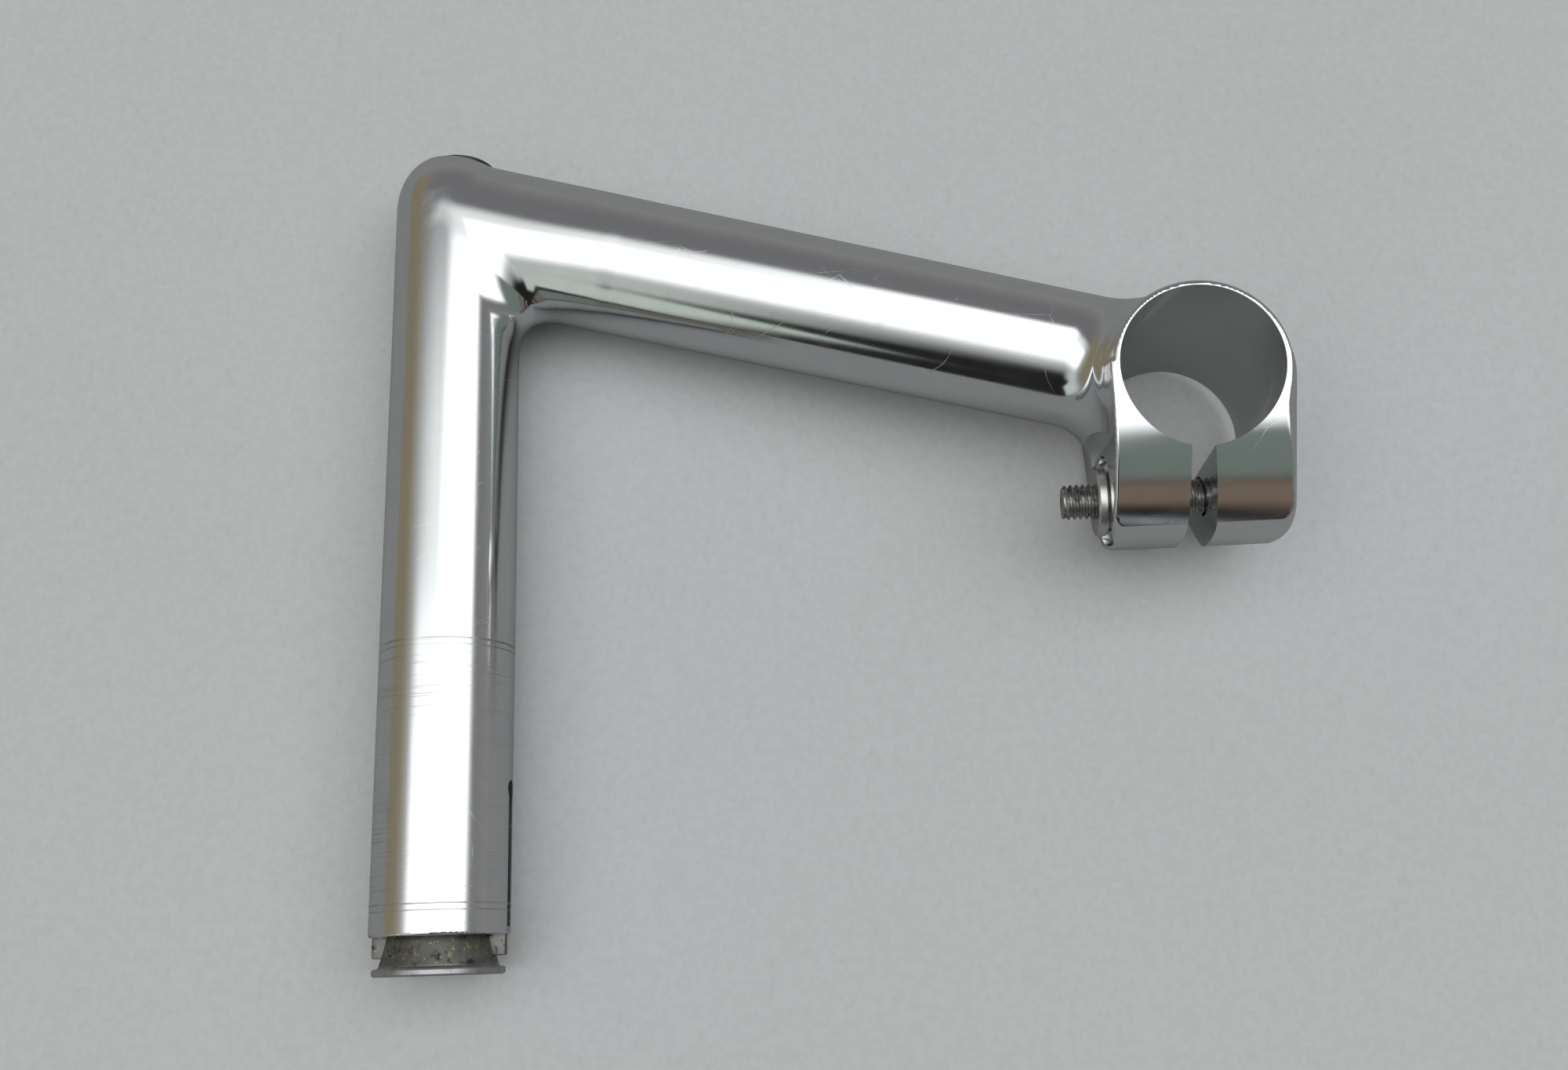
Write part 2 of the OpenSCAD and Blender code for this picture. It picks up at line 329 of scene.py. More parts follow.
def applied(obj):
    """Makes the result of the object's modifiers its mesh."""
    evaluated = obj.evaluated_get(bpy.context.evaluated_depsgraph_get())
    mesh = bpy.data.meshes.new_from_object(evaluated)
    old = obj.data
    obj.modifiers.clear()
    obj.data = mesh
    bpy.data.meshes.remove(old)
    return obj


def combine(obj, tools, operation="DIFFERENCE"):
    for tool in tools:
        step = obj.modifiers.new("step", "BOOLEAN")
        step.operation, step.solver, step.object = operation, "MANIFOLD", tool
    applied(obj)
    for tool in tools:
        remove(tool)
    return obj


def shade(obj, angle=30):
    """Smooth shading, with the edges over the given angle kept sharp."""
    bm = bmesh.new()
    bm.from_mesh(obj.data)
    limit = math.radians(angle)
    for face in bm.faces:
        face.smooth = True
    for edge in bm.edges:
        edge.smooth = len(edge.link_faces) == 2 and edge.calc_face_angle() < limit
    bm.to_mesh(obj.data)
    bm.free()
    return obj


def bevelled(obj, width, segments=2, angle=40):
    bevel = obj.modifiers.new("bevel", "BEVEL")
    bevel.width, bevel.segments = width * MM, segments
    bevel.limit_method, bevel.angle_limit = "ANGLE", math.radians(angle)
    bevel.use_clamp_overlap = True
    return shade(applied(obj))


def finish_piece(obj, body, node, materials):
    obj.data.materials.clear()
    for material in materials:
        obj.data.materials.append(material)
    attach(obj, body)
    if node:
        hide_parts(node)
    return obj


# ---------------------------------------------------------------- material nodes

class Nodes:
    """Short calls for one material's node tree."""

    def __init__(self, name):
        self.material = bpy.data.materials.new(name)
        self.material.use_nodes = True
        self.tree = self.material.node_tree
        self.shader = self.tree.nodes["Principled BSDF"]
        self.place = self.add("ShaderNodeTexCoord").outputs["Object"]

    def add(self, kind, **settings):
        node = self.tree.nodes.new(kind)
        for key, value in settings.items():
            setattr(node, key, value)
        return node

    def feed(self, socket, value):
        if isinstance(value, bpy.types.NodeSocket):
            self.tree.links.new(value, socket)
        else:
            socket.default_value = value

    def math(self, operation, a, b=0.0):
        node = self.add("ShaderNodeMath", operation=operation)
        self.feed(node.inputs[0], a)
        self.feed(node.inputs[1], b)
        return node.outputs[0]

    def stretch(self, scale):
        node = self.add("ShaderNodeMapping")
        self.feed(node.inputs["Vector"], self.place)
        node.inputs["Scale"].default_value = scale
        return node.outputs[0]

    def noise(self, scale, detail=2.0, rough=0.5, vector=None):
        node = self.add("ShaderNodeTexNoise")
        self.feed(node.inputs["Vector"], vector or self.place)
        node.inputs["Scale"].default_value = scale
        node.inputs["Detail"].default_value = detail
        node.inputs["Roughness"].default_value = rough
        return node.outputs["Fac"]

    def spread(self, value, low, high, to_low=0.0, to_high=1.0):
        """Takes the range low..high to to_low..to_high, clamped."""
        node = self.add("ShaderNodeMapRange")
        names = ("Value", "From Min", "From Max", "To Min", "To Max")
        for key, v in zip(names, (value, low, high, to_low, to_high)):
            self.feed(node.inputs[key], v)
        return node.outputs[0]

    def mix(self, share, a, b):
        node = self.add("ShaderNodeMix", data_type="RGBA")
        self.feed(node.inputs[0], share)
        self.feed(node.inputs[6], (*a, 1) if isinstance(a, tuple) else a)
        self.feed(node.inputs[7], (*b, 1) if isinstance(b, tuple) else b)
        return node.outputs[2]

    def axis(self, name):
        node = self.add("ShaderNodeSeparateXYZ")
        self.feed(node.inputs[0], self.place)
        return node.outputs[name]

    def bump(self, height, strength, distance, under=None):
        node = self.add("ShaderNodeBump")
        node.inputs["Strength"].default_value = strength
        node.inputs["Distance"].default_value = distance
        self.feed(node.inputs["Height"], height)
        if under:
            self.feed(node.inputs["Normal"], under)
        return node.outputs[0]

    def worn_edges(self, low=0.52, high=0.62):
        pointy = self.add("ShaderNodeNewGeometry").outputs["Pointiness"]
        return self.spread(pointy, low, high)

    def surface(self, colour, rough, normal=None, metallic=1.0):
        if isinstance(colour, tuple):
            colour = (*colour, 1)
        self.feed(self.shader.inputs["Base Color"], colour)
        self.feed(self.shader.inputs["Roughness"], rough)
        self.shader.inputs["Metallic"].default_value = metallic
        if normal:
            self.feed(self.shader.inputs["Normal"], normal)
        return self.material


def scratches(n, scale, length, turn, share, width=0.006):
    """Fine straight scratches, 1 on the line and 0 beside it."""
    place = n.add("ShaderNodeMapping", vector_type="TEXTURE")
    n.feed(place.inputs["Vector"], n.place)
    place.inputs["Rotation"].default_value = [math.radians(a) for a in turn]
    place.inputs["Scale"].default_value = (1, 1, length)
    cells = n.add("ShaderNodeTexVoronoi", feature="DISTANCE_TO_EDGE")
    n.feed(cells.inputs["Vector"], place.outputs[0])
    cells.inputs["Scale"].default_value = scale
    near = n.spread(cells.outputs["Distance"], 0.0, width, 1.0, 0.0)
    patch = n.spread(n.noise(70 + scale * 0.3, 3.0), 0.5 + share, 0.6 + share)
    return n.math("MULTIPLY", near, patch)


def ring_line(n, z, half):
    """A line round the quill at the height z, as wide as twice half, in metres."""
    away = n.math("ABSOLUTE", n.math("SUBTRACT", n.axis("Z"), z))
    return n.spread(away, half, 0.4 * half, 0.0, 1.0)


def polished_alloy():
    """Polished forged alloy: a soft haze, fine scratches, and hoop marks where the quill is clamped."""
    n = Nodes("polished_alloy")
    low = n.spread(n.axis("Z"), 0.003, -0.001)
    patches = n.spread(n.noise(45, 3.0), 0.40, 0.62)
    fine = n.noise(5200, 1.0, 0.5, n.stretch((0.012, 0.012, 1)))
    hoops = n.math("MULTIPLY", n.spread(fine, 0.60, 0.68), n.math("MULTIPLY", patches, low))
    mark = n.math("MAXIMUM", ring_line(n, 0.0013, 0.00022), ring_line(n, 0.0003, 0.00014))
    mark = n.math("MAXIMUM", mark, ring_line(n, -0.0402, 0.0002))
    mark = n.math("MAXIMUM", mark, ring_line(n, -0.0412, 0.00015))
    mark = n.math("MULTIPLY", mark, n.spread(n.noise(110, 3.0), 0.36, 0.56, 0.15, 1.0))
    scrape = scratches(n, 150, 3.5, (25, 65, 10), 0.03)
    scrape = n.math("MAXIMUM", scrape, scratches(n, 110, 4.0, (80, 20, 50), 0.05))
    scrape = n.math("MAXIMUM", scrape, scratches(n, 210, 3.0, (5, 100, 30), 0.06, 0.008))
    haze = n.noise(140, 4.0, 0.6)
    stain = n.spread(n.noise(260, 5.0, 0.65), 0.62, 0.75)
    colour = n.mix(n.spread(haze, 0.35, 0.7), (0.94, 0.945, 0.95), (0.89, 0.90, 0.905))
    colour = n.mix(n.math("MULTIPLY", stain, 0.25), colour, (0.62, 0.6, 0.56))
    dulled = n.math("MULTIPLY", n.math("MAXIMUM", mark, n.math("MULTIPLY", hoops, 0.7)), 0.7)
    colour = n.mix(dulled, colour, (0.3, 0.29, 0.27))
    rough = n.spread(haze, 0.3, 0.7, 0.085, 0.14)
    rough = n.math("ADD", rough, n.math("MULTIPLY", low, 0.05))
    rough = n.math("ADD", rough, n.math("MULTIPLY", n.math("MAXIMUM", hoops, mark), 0.2))
    rough = n.math("ADD", rough, n.math("MULTIPLY", scrape, 0.22))
    wave = n.math("MULTIPLY", n.noise(55, 1.0), 0.5)
    height = n.math("SUBTRACT", wave, n.math("MULTIPLY", hoops, 0.2))
    normal = n.bump(height, 0.12, 0.00008)
    normal = n.bump(n.math("MAXIMUM", scrape, mark), 0.35, -0.00001, normal)
    return n.surface(colour, rough, normal)


def machined_alloy(name, tone, rough):
    """Bored or milled alloy: fine tool marks and grey oxide."""
    n = Nodes(name)
    speck = n.spread(n.noise(1500, 3.0, 0.7), 0.5, 0.72)
    cloud = n.noise(180, 4.0, 0.6)
    colour = n.mix(cloud, tuple(0.75 * t for t in tone), tone)
    colour = n.mix(n.math("MULTIPLY", speck, 0.55), colour, (0.16, 0.155, 0.15))
    marks = n.noise(40, 2.0, 0.5, n.stretch((1, 45, 1)))
    height = n.math("ADD", marks, n.math("MULTIPLY", speck, 0.6))
    roughness = n.spread(cloud, 0.3, 0.7, rough, rough + 0.15)
    return n.surface(colour, roughness, n.bump(height, 0.3, 0.00003))


def steel(name, tone, grime, rough, grime_from=0.55, marks=(1, 1, 30)):
    """Turned or plated steel, with patches of grime and bright worn edges."""
    n = Nodes(name)
    turned_marks = n.noise(120, 2.0, 0.6, n.stretch(marks))
    dirt = n.spread(n.noise(420, 5.0, 0.65), grime_from, grime_from + 0.14)
    colour = n.mix(n.spread(turned_marks, 0.3, 0.7), tuple(0.8 * t for t in tone), tone)
    colour = n.mix(n.math("MULTIPLY", dirt, 0.85), colour, grime)
    bright = tuple(min(1.0, 1.25 * t) for t in tone)
    colour = n.mix(n.math("MULTIPLY", n.worn_edges(), 0.5), colour, bright)
    turned_rough = n.spread(turned_marks, 0.3, 0.7, rough, rough + 0.12)
    roughness = n.math("ADD", turned_rough, n.math("MULTIPLY", dirt, 0.3))
    height = n.math("ADD", n.math("MULTIPLY", turned_marks, 0.5), n.math("MULTIPLY", dirt, 0.5))
    return n.surface(colour, roughness, n.bump(height, 0.25, 0.00003), 1.0)


def greased_steel():
    """The cone: dull zinc with black grime and flecks of yellow grease."""
    n = Nodes("greased_zinc")
    cloud = n.noise(300, 5.0, 0.65)
    dirt = n.spread(n.noise(380, 6.0, 0.7), 0.46, 0.60)
    fleck = n.spread(n.noise(1100, 3.0, 0.6), 0.60, 0.66)
    # above the rim, toward the quill's mouth, the cone is darker and its black patches thicker than on the
    # rim
    tall = n.spread(n.axis("Z"), -0.0497, -0.0492)
    dirt = n.math("MULTIPLY", n.math("MAXIMUM", dirt, 0.35), n.spread(tall, 0.0, 1.0, 0.35, 1.0))
    fleck = n.math("MULTIPLY", fleck, tall)
    upper = n.mix(cloud, (0.20, 0.195, 0.18), (0.40, 0.39, 0.36))
    colour = n.mix(tall, n.mix(cloud, (0.42, 0.43, 0.42), (0.62, 0.63, 0.62)), upper)
    colour = n.mix(n.math("MULTIPLY", dirt, 0.9), colour, (0.035, 0.032, 0.028))
    colour = n.mix(n.math("MULTIPLY", fleck, 0.8), colour, (0.55, 0.46, 0.22))
    rough = n.math("ADD", n.spread(cloud, 0.3, 0.7, 0.28, 0.42), n.math("MULTIPLY", dirt, 0.25))
    height = n.math("ADD", cloud, n.math("MULTIPLY", fleck, 0.8))
    return n.surface(colour, rough, n.bump(height, 0.4, 0.00006), 0.85)


# ---------------------------------------------------------------- pieces

OUTSIDE, BORED, MILLED = 0, 1, 2


def build_forging():
    low, high = box_mm("stem_body")
    verts, quads = surface_net(forging, low - 2.0, high + 3.0, 0.4)
    verts = settle(forging, verts)
    obj = mesh_object("stem_forging", verts, quads)
    # the bored faces' dark tone is painted shade for the inside of the bores; their specks and cloud are
    # real grime and oxide
    materials = [polished_alloy(), machined_alloy("bored_alloy_painted_shade", (0.19, 0.18, 0.175), 0.42),
                 machined_alloy("milled_alloy", (0.42, 0.42, 0.41), 0.3)]
    for material in materials:
        obj.data.materials.append(material)

    x0, z0 = BORE[0], BORE[2]
    half = CLAMP_HALF + 1
    cutters = [rod_along((x0, -half, z0), (x0, half, z0), BAR_R, 192, BORED)]
    for side in (-1, 1):
        cone = turned("cutter", [(0, 0), (BAR_R + 1.1, 0), (BAR_R, 1.1), (0, 1.1)], 192)
        turn = Matrix.Rotation(math.radians(90 * side), 4, "X")
        place = Matrix.Translation(Vector((x0, side * (CLAMP_HALF + 1), z0)) * MM)
        cutters.append(placed(cone, place @ turn))
    slot = [(SLOT_REAR, -6), (SLOT_REAR, SLOT_FOOT_Z), (SLOT_FOOT, SLOT_FOOT_Z), (SLOT_FRONT, SLOT_BEND_Z),
            (SLOT_FRONT, -6)]
    cutters.append(prism([(x0 + x, -half, z0 + z) for x, z in slot], (0, 2 * half, 0), MILLED))
    # bolt's hole and seats; the wide recess behind the ear is an oval
    recess = rod_along((x0 - 40, 0, BOLT_Z), (x0 + EAR_REAR_X, 0, BOLT_Z), RECESS_R, 128, MILLED)
    key_slot = [(x0 + x, y, BOLT_Z) for x, y in (
        (NUT_HOLE_START_X, -NUT_KEY_HALF), (NUT_HOLE_END_X, -NUT_KEY_HALF),
        (NUT_HOLE_END_X, NUT_KEY_HALF), (NUT_HOLE_START_X, NUT_KEY_HALF))]
    cutters += [
        rod_along((x0 - 12, 0, BOLT_Z), (x0 + 12, 0, BOLT_Z), SCREW_HOLE_R, 64, BORED),
        rod_along((x0 - 40, 0, BOLT_Z), (x0 + NUT_SEAT_X, 0, BOLT_Z), NUT_SEAT_R, 128, MILLED),
        placed(recess, Matrix.Diagonal((1, RECESS_STRETCH, 1, 1))),
        rod_along((x0 + NUT_HOLE_START_X, 0, BOLT_Z), (x0 + NUT_HOLE_END_X, 0, BOLT_Z),
                  NUT_HOLE_R, 64, BORED),
        prism(key_slot, (0, 0, -NUT_KEY_REACH), BORED),
        rod_along((x0 + HEAD_SEAT_X, 0, BOLT_Z), (x0 + 30, 0, BOLT_Z), HEAD_POCKET_R, 96, MILLED),
    ]
    # quill's long bore, bolt passage and the pocket for the bolt's head
    seat = box_mm("expander_washer")[0][2]
    shoulder = EXT_Z - 17
    cutters += [
        rod_along((0, 0, QUILL_END - 1), (0, 0, shoulder), QUILL_BORE_R, 128, BORED),
        rod_along((0, 0, shoulder - 1), (0, 0, seat + 1), PASSAGE_R, 64, BORED),
        rod_along((0, 0, seat), (0, 0, seat + 30), COUNTERBORE_R, 96, MILLED),
    ]
    mouth = turned("cutter", [(0, -1), (MOUTH_R, -1), (QUILL_BORE_R, MOUTH_DEPTH), (0, MOUTH_DEPTH)])
    cutters.append(placed(mouth, Matrix.Translation((0, 0, QUILL_END * MM))))
    slot_top = QUILL_END + QUILL_SLOT_LEN
    for side in (-1, 1):
        near, far, low_z, w = side * 5, side * 13, QUILL_END - 1, QUILL_SLOT_HALF
        foot = [(near, -w, low_z), (far, -w, low_z), (far, w, low_z), (near, w, low_z)]
        cutters.append(prism(foot, (0, 0, QUILL_SLOT_LEN + 1), MILLED))
        cutters.append(rod_along((near, 0, slot_top), (far, 0, slot_top), SLOT_END_R, 48, MILLED))
    combine(obj, cutters)
    shade(obj, 28)
    smooth_outside(obj)
    return finish_piece(obj, "stem", "stem_body", materials)


def smooth_outside(obj):
    """Gives the forging's outside the exact normals of its field, so that it shines without facets."""
    mesh = obj.data
    count = len(mesh.loops)
    owner = np.empty(count, np.int32)
    mesh.loops.foreach_get("vertex_index", owner)
    co = np.empty(len(mesh.vertices) * 3, np.float32)
    mesh.vertices.foreach_get("co", co)
    co = co.reshape(-1, 3).astype(float) / MM
    index = np.empty(len(mesh.polygons), np.int32)
    mesh.polygons.foreach_get("material_index", index)
    total = np.empty(len(mesh.polygons), np.int32)
    mesh.polygons.foreach_get("loop_total", total)
    face_normal = np.empty(len(mesh.polygons) * 3, np.float32)
    mesh.polygons.foreach_get("normal", face_normal)
    face_normal = np.repeat(face_normal.reshape(-1, 3), total, 0)
    exact = gradient(forging, co)
    exact /= np.maximum(np.linalg.norm(exact, axis=1, keepdims=True), 1e-9)
    on_surface = np.abs(forging(*co.T)) < 0.02
    normals = exact[owner]
    outside = np.repeat(index, total) == OUTSIDE
    good = on_surface[owner] & outside & ((normals * face_normal).sum(1) > 0.8)
    normals[~good] = 0
    mesh.normals_split_custom_set(normals.tolist())


def threaded(name, low, high, r, pitch, rows=8, around=48):
    """A rod along Z from low to high with a real helical thread, in millimetres."""
    steps = int(round((high - low) / pitch * rows))
    depth = 0.61 * pitch
    angles = 2 * np.pi * np.arange(around) / around
    z, a = np.meshgrid(np.linspace(low, high, steps + 1), angles, indexing="ij")
    phase = (z / pitch - a / (2 * np.pi)) % 1
    groove = np.clip((0.5 - np.abs(phase - 0.5)) * 2.6 - 0.25, 0, 1)
    fade = smooth_step(np.minimum(z - low, high - z) / (0.8 * pitch))
    radius = r - depth * (1 - groove) * np.maximum(fade, 0.35)
    radius -= 0.25 * pitch * (1 - fade)
    verts = np.stack([radius * np.cos(a), radius * np.sin(a), z], -1).reshape(-1, 3)
    i, j = np.meshgrid(np.arange(steps), np.arange(around), indexing="ij")
    k = (j + 1) % around
    row, next_row = i * around, (i + 1) * around
    quads = np.stack([row + j, row + k, next_row + k, next_row + j], -1).reshape(-1, 4)
    bm = bmesh.new()
    made = [bm.verts.new(v * MM) for v in verts]
    for q in quads:
        bm.faces.new([made[c] for c in q])
    bm.faces.new(made[:around][::-1])
    bm.faces.new(made[-around:])
    return shade(bmesh_object(name, bm), 50)


def join(obj, other):
    """Adds the other object's mesh to this one's, as part of the same piece."""
    bm = bmesh.new()
    bm.from_mesh(obj.data)
    bm.from_mesh(other.data)
    bm.to_mesh(obj.data)
    bm.free()
    remove(other)
    return obj


def socket_head(name, r, h, key, depth):
    """A socket head from height 0 to h, its hexagon open upward, with a chamfered rim."""
    head = turned(name, [(0, 0), (r - 0.2, 0), (r, 0.2), (r, h - 0.5), (r - 0.5, h), (0, h)])
    key_r = key / math.sqrt(3)
    corners = [math.pi * i / 3 for i in range(6)]
    hexagon = [(key_r * math.cos(a), key_r * math.sin(a), h - depth) for a in corners]
    lead_low, lead_high = h - 0.35, h + 0.4
    lead = turned("cutter", [
        (0, lead_low), (key_r - 0.25, lead_low), (key_r + 0.5, lead_high), (0, lead_high)])
    return shade(combine(head, [prism(hexagon, (0, 0, depth + 1)), lead]), 28)


def build_expander_bolt():
    low, high = box_mm("expander_bolt")
    head_h = 8.0
    bolt = socket_head("expander_bolt_detailed", 6.5, head_h + 0.3, 6, 5)
    placed(bolt, Matrix.Translation((0, 0, (high[2] - head_h) * MM)))
    thread_top = low[2] + 30
    shank_r, shank_top = 3.9, high[2] - head_h + 0.01
    outline = [(0, thread_top), (shank_r, thread_top), (shank_r, shank_top), (0, shank_top)]
    shank = turned("shank", outline, 64)
    join(bolt, shade(shank))
    join(bolt, threaded("thread", low[2], thread_top, 4.0, 1.25))
    black = steel("black_oxide_steel", (0.10, 0.10, 0.105), (0.02, 0.02, 0.02), 0.32)
    return finish_piece(bolt, "expander_bolt", "expander_bolt", [black])


def build_expander_cone():
    low, high = box_mm("expander_cone")
    rim_r, rim_t, h = 10.4, 1.2, high[2] - low[2]
    rim_below, lift = 6.0, 1.85
    taper = math.tan(math.radians(15))
    base_r = QUILL_BORE_R + (MOUTH_DEPTH + rim_below - rim_t - lift) * taper
    top_r = base_r - (h - rim_t) * taper
    bore = 4.05
    cone = turned("expander_cone_detailed", [
        (bore + 0.5, 0), (rim_r - 0.35, 0), (rim_r, 0.3), (rim_r, rim_t - 0.25), (rim_r - 0.25, rim_t),
        (base_r + 0.3, rim_t), (base_r - 0.3 * taper, rim_t + 0.3), (top_r + 0.6 * taper, h - 0.6),
        (top_r - 0.3, h), (bore + 0.5, h),
        (bore, h - 0.5), (bore, 0.5),
    ])
    key_half, key_reach, key_low, key_high = 0.85, QUILL_R - 0.35, rim_t + 1.65, rim_t + 6.15
    for side in (-1, 1):
        foot = [(side * 5.5, -key_half, key_low), (side * key_reach, -key_half, key_low),
                (side * key_reach, key_half, key_low), (side * 5.5, key_half, key_low)]
        key = prism(foot, (0, 0, key_high - key_low))
        combine(cone, [bevelled(key, 0.25)], "UNION")
    placed(cone, Matrix.Translation((0, 0, low[2] * MM)))
    shade(cone, 28)
    return finish_piece(cone, "expander_cone", "expander_cone", [greased_steel()])


def to_bolt_axis():
    """From a fastener's own frame, its axis on Z, to the clamp bolt's axis with +Z facing forward."""
    return Matrix.Translation(Vector((BORE[0], 0, BOLT_Z)) * MM) @ Matrix.Rotation(math.radians(90), 4, "Y")


def build_clamp_bolt():
    low, high = box_mm("clamp_bolt")
    end, top, head_h = low[0] - BORE[0], high[0] - BORE[0], 6.0
    bolt = socket_head("clamp_bolt_detailed", 5.0, head_h, 5, 3)
    placed(bolt, Matrix.Translation((0, 0, (top - head_h) * MM)))
    join(bolt, threaded("thread", end, top - head_h + 0.01, 3.0, 1.0))
    placed(bolt, to_bolt_axis())
    dull = steel("dull_zinc_steel", (0.5, 0.49, 0.47), (0.03, 0.028, 0.025), 0.3, 0.5)
    return finish_piece(bolt, "clamp_bolt", "clamp_bolt", [dull])


def build_clamp_nut():
    low, high = box_mm("clamp_nut")
    back, front = low[0] - BORE[0], high[0] - BORE[0]
    r, t, shank_r, bore = 5.9, 1.7, 4.0, 3.05
    edge = 0.3
    nut = turned("clamp_nut_detailed", [
        (bore + 0.4, back), (r - edge, back), (r, back + edge), (r, back + t - edge),
        (r - edge, back + t), (shank_r, back + t), (shank_r, front - 0.4), (shank_r - 0.4, front),
        (bore, front), (bore, back + 0.4),
    ])
    key_in, key_out, w, key_back = 3.4, 4.95, 0.95, back + t - 0.3
    foot = [(key_in, -w, key_back), (key_out, -w, key_back), (key_out, w, key_back), (key_in, w, key_back)]
    key = prism(foot, (0, 0, front - back - t))
    combine(nut, [key], "UNION")
    shade(nut, 28)
    placed(nut, to_bolt_axis())
    bright = steel("turned_nickel", (0.72, 0.71, 0.69), (0.12, 0.115, 0.10), 0.2, 0.6, (1, 1, 1))
    return finish_piece(nut, "clamp_nut", "clamp_nut", [bright])


def dress_washer():
    washer = frame["nodes"]["expander_washer"]
    finish = steel("washer_zinc_steel", (0.5, 0.5, 0.49), (0.06, 0.055, 0.05), 0.3)
    washer.data.materials.clear()
    washer.data.materials.append(finish)


# ---------------------------------------------------------------- floor, light and camera

def floor_material():
    n = Nodes("pale_floor")
    cloud = n.noise(9, 5.0, 0.6)
    grain = n.noise(700, 3.0, 0.6)
    colour = n.mix(cloud, (0.66, 0.66, 0.66), (0.72, 0.72, 0.72))
    colour = n.mix(n.spread(grain, 0.4, 0.7, 0.0, 0.25), colour, (0.5, 0.5, 0.5))
    surface = n.surface(colour, 0.75, n.bump(grain, 0.15, 0.0002), 0.0)
    n.shader.inputs["Specular IOR Level"].default_value = 0.2
    # darker where the metal mirrors it, and open from behind so that it hides nothing
    dim = n.add("ShaderNodeBsdfDiffuse")
    dim.inputs["Color"].default_value = (0.30, 0.30, 0.30, 1)
    clear = n.add("ShaderNodeBsdfTransparent")
    rays = n.add("ShaderNodeLightPath")
    behind = n.add("ShaderNodeNewGeometry").outputs["Backfacing"]
    mirrored = n.add("ShaderNodeMixShader")
    n.feed(mirrored.inputs[0], rays.outputs["Is Glossy Ray"])
    n.feed(mirrored.inputs[1], n.shader.outputs[0])
    n.feed(mirrored.inputs[2], dim.outputs[0])
    seen = n.add("ShaderNodeMixShader")
    n.feed(seen.inputs[0], n.math("MULTIPLY", behind, rays.outputs["Is Camera Ray"]))
    n.feed(seen.inputs[1], mirrored.outputs[0])
    n.feed(seen.inputs[2], clear.outputs[0])
    n.feed(n.tree.nodes["Material Output"].inputs["Surface"], seen.outputs[0])
    return surface


def build_floor(forging_obj):
    """The stem lies on its left side: the floor touches the quill and the clamp's far face."""
    touch_x = BORE[0] - BAR_R - 1.2
    slope = math.asin((CLAMP_HALF - QUILL_R) / touch_x)
    reach = max(v.co.y - v.co.x * math.tan(slope) for v in forging_obj.data.vertices)
    half = 2.5
    bm = bmesh.new()
    bmesh.ops.create_grid(bm, x_segments=1, y_segments=1, size=half)
    lie = Matrix.Rotation(slope, 4, "Z") @ Matrix.Rotation(math.radians(90), 4, "X")
    offset = Vector((0, reach, 0))
    bmesh.ops.transform(bm, matrix=Matrix.Translation(offset) @ lie, verts=bm.verts)
    mesh = bpy.data.meshes.new("floor")
    bm.to_mesh(mesh)
    bm.free()
    floor = new_object("floor", mesh)
    if floor.data.polygons[0].normal.y > 0:
        floor.data.flip_normals()
    floor.data.materials.append(floor_material())


class Sky:
    """A studio surround: a dim grey room with soft panels, each a patch of directions."""

    def __init__(self):
        world = bpy.data.worlds.new("studio")
        bpy.context.scene.world = world
        world.use_nodes = True
        self.tree = world.node_tree
        self.out = self.tree.nodes["Background"]
        coords = self.tree.nodes.new("ShaderNodeTexCoord").outputs["Generated"]
        split = self.tree.nodes.new("ShaderNodeSeparateXYZ")
        self.tree.links.new(coords, split.inputs[0])
        x, y, z = split.outputs
        self.level = self.math("MULTIPLY", self.math("ARCSINE", z), 180 / math.pi)
        self.front = self.math("MULTIPLY", y, -1.0)
        self.heading = self.math("MULTIPLY", self.math("ARCTAN2", x, self.front), 180 / math.pi)
        self.colour = None

    def math(self, operation, a, b=0.0):
        node = self.tree.nodes.new("ShaderNodeMath")
        node.operation = operation
        for socket, value in zip(node.inputs, (a, b)):
            if isinstance(value, bpy.types.NodeSocket):
                self.tree.links.new(value, socket)
            else:
                socket.default_value = value
        return node.outputs[0]

    def ramp(self, value, low, high):
        node = self.tree.nodes.new("ShaderNodeMapRange")
        node.interpolation_type = "SMOOTHSTEP"
        self.tree.links.new(value, node.inputs["Value"])
        node.inputs["From Min"].default_value = low
        node.inputs["From Max"].default_value = high
        return node.outputs[0]

    def room(self, colour, rim):
        """The room's own tone, paler toward the floor's horizon."""
        node = self.tree.nodes.new("ShaderNodeMix")
        node.data_type = "RGBA"
        self.tree.links.new(self.ramp(self.front, 0.0, 0.6), node.inputs[0])
        node.inputs[6].default_value = (*rim, 1)
        node.inputs[7].default_value = (*colour, 1)
        self.colour = node.outputs[2]

    def panel(self, colour, heading, level):
        """A patch from one heading and level to another; each end is (outer, inner) in degrees."""
        (h0, h1), (h2, h3) = heading
        (v0, v1), (v2, v3) = level
        across = self.math("MULTIPLY", self.ramp(self.heading, h0, h1), self.ramp(self.heading, h3, h2))
        upward = self.math("MULTIPLY", self.ramp(self.level, v0, v1), self.ramp(self.level, v3, v2))
        share = self.math("MULTIPLY", across, upward)
        mix = self.tree.nodes.new("ShaderNodeMix")
        mix.data_type = "RGBA"
        self.tree.links.new(share, mix.inputs[0])
        self.tree.links.new(self.colour, mix.inputs[6])
        mix.inputs[7].default_value = (*colour, 1)
        self.colour = mix.outputs[2]

    def done(self, strength, backdrop):
        """Lights the scene with the surround, and shows a plain backdrop behind it."""
        seen = self.tree.nodes.new("ShaderNodeMix")
        seen.data_type = "RGBA"
        rays = self.tree.nodes.new("ShaderNodeLightPath")
        self.tree.links.new(rays.outputs["Is Camera Ray"], seen.inputs[0])
        self.tree.links.new(self.colour, seen.inputs[6])
        seen.inputs[7].default_value = (*backdrop, 1)
        self.tree.links.new(seen.outputs[2], self.out.inputs["Color"])
        self.out.inputs["Strength"].default_value = strength


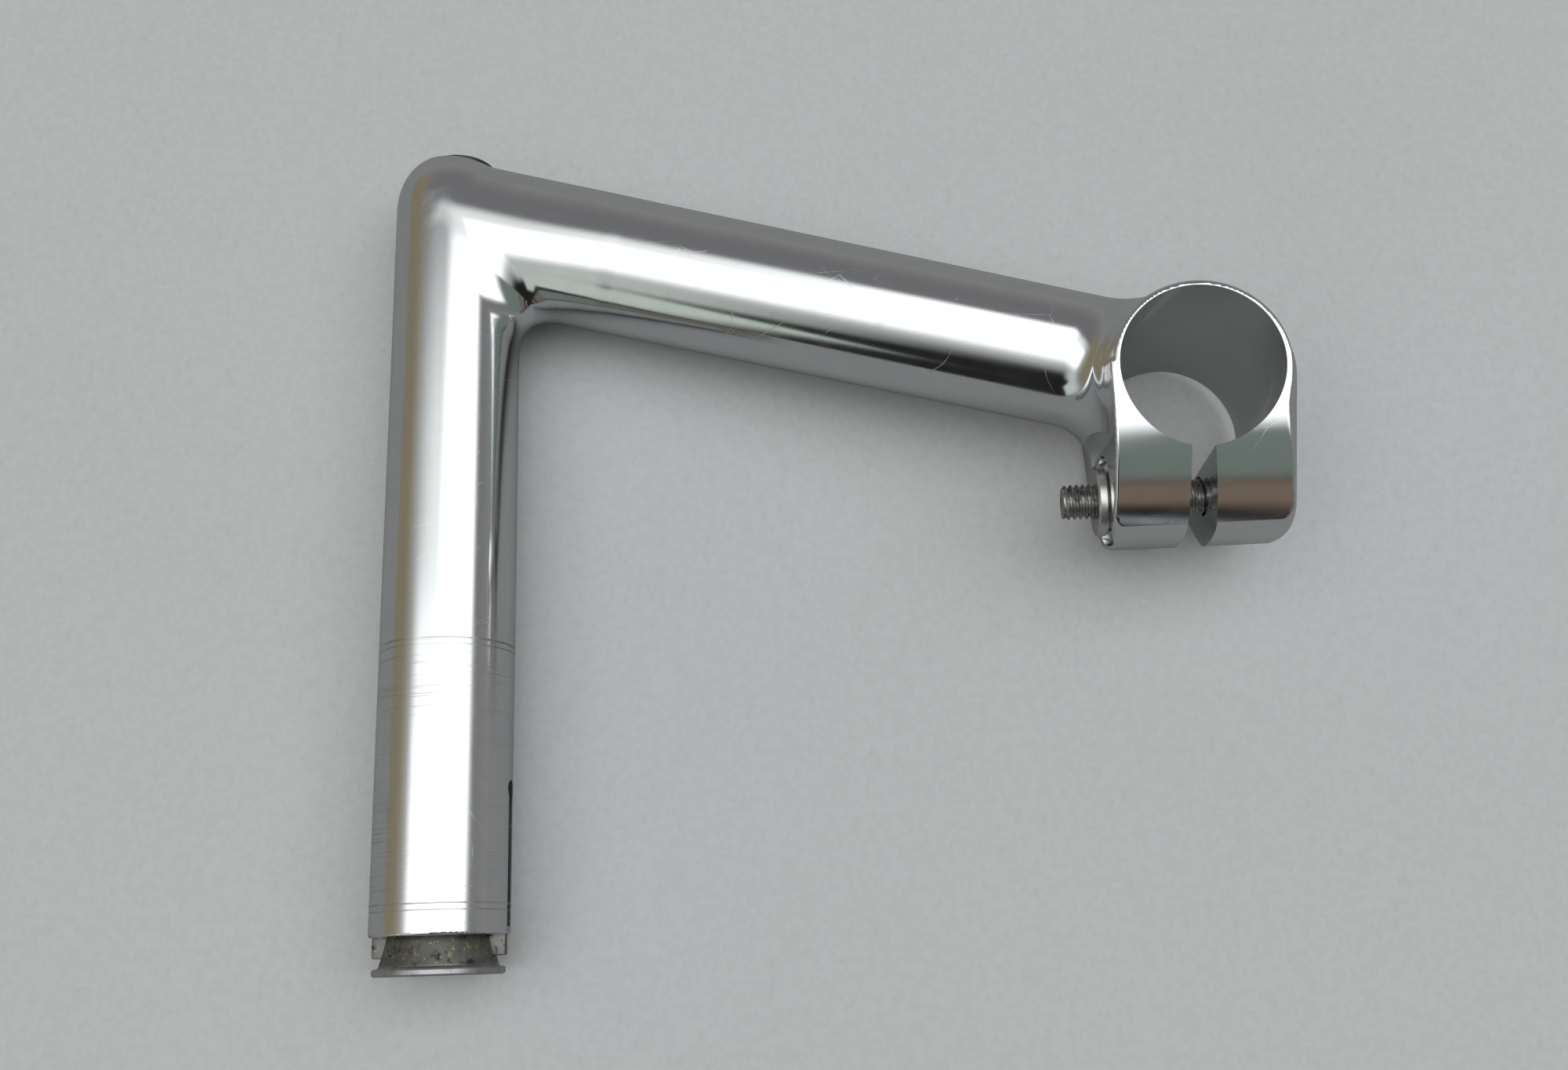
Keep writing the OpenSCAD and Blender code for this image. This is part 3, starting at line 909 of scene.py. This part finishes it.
def build_light():
    sky = Sky()
    sky.room((0.150, 0.150, 0.155), (0.21, 0.208, 0.208))
    # dim ground side, toward the foot of the quill
    sky.panel((0.012, 0.012, 0.012), ((-100, -85), (85, 105)), ((-95, -94), (-52, -38)))
    # warm wall on the left
    sky.panel((0.20, 0.175, 0.12), ((-102, -94), (-60, -40)), ((-30, -15), (40, 65)))
    # pale green light, low on the left
    sky.panel((0.45, 0.51, 0.46), ((-92, -76), (-50, -42)), ((-66, -60), (-45, -20)))
    sky.panel((0.42, 0.46, 0.43), ((-60, -45), (-40, -16)), ((-54, -44), (-40, -20)))
    # the broad window in front, and its bright middle
    sky.panel((0.85, 0.88, 0.87), ((-68, -8), (50, 64)), ((-50, -14), (18, 32)))
    sky.panel((1.5, 1.54, 1.56), ((-50, -30), (8, 14)), ((-34, -14), (6, 17)))
    sky.panel((1.6, 1.65, 1.68), ((-10, 12), (48, 60)), ((-26, -14), (21, 33)))
    # grey-green, brown, dark and one thin light line, low on the right
    sky.panel((0.14, 0.17, 0.155), ((2, 12), (75, 95)), ((-63, -57), (-26, -4)))
    sky.panel((0.16, 0.12, 0.095), ((2, 12), (75, 95)), ((-74, -69), (-64, -57)))
    sky.panel((0.22, 0.24, 0.25), ((2, 12), (75, 95)), ((-79.5, -78.5), (-77, -76)))
    sky.done(1.0, (0.48, 0.48, 0.48))


def build_camera():
    """Where the camera stood: a little right of the stem's middle, looking down onto the floor."""
    camera = bpy.data.cameras.new("camera")
    camera.sensor_width = 36.0
    camera.lens = 35.24
    camera.clip_start, camera.clip_end = 0.01, 20.0
    obj = new_object("camera", camera)
    heading, level, roll = math.radians(-3.16), math.radians(15.56), math.radians(-1.87)
    flat = math.cos(level)
    forward = Vector((math.sin(heading) * flat, math.cos(heading) * flat, math.sin(level)))
    right = forward.cross(Vector((0, 0, 1))).normalized()
    up = right.cross(forward)
    side = right * math.cos(roll) + up * math.sin(roll)
    top = up * math.cos(roll) - right * math.sin(roll)
    turn = Matrix((side, top, -forward)).transposed().to_4x4()
    obj.matrix_world = Matrix.Translation(Vector((0.07059, -0.24825, -0.05070))) @ turn
    bpy.context.scene.camera = obj


stem_forging = build_forging()
build_expander_bolt()
build_expander_cone()
build_clamp_bolt()
build_clamp_nut()
dress_washer()
build_floor(stem_forging)
build_light()
build_camera()
bpy.context.scene.view_settings.view_transform = "Standard"
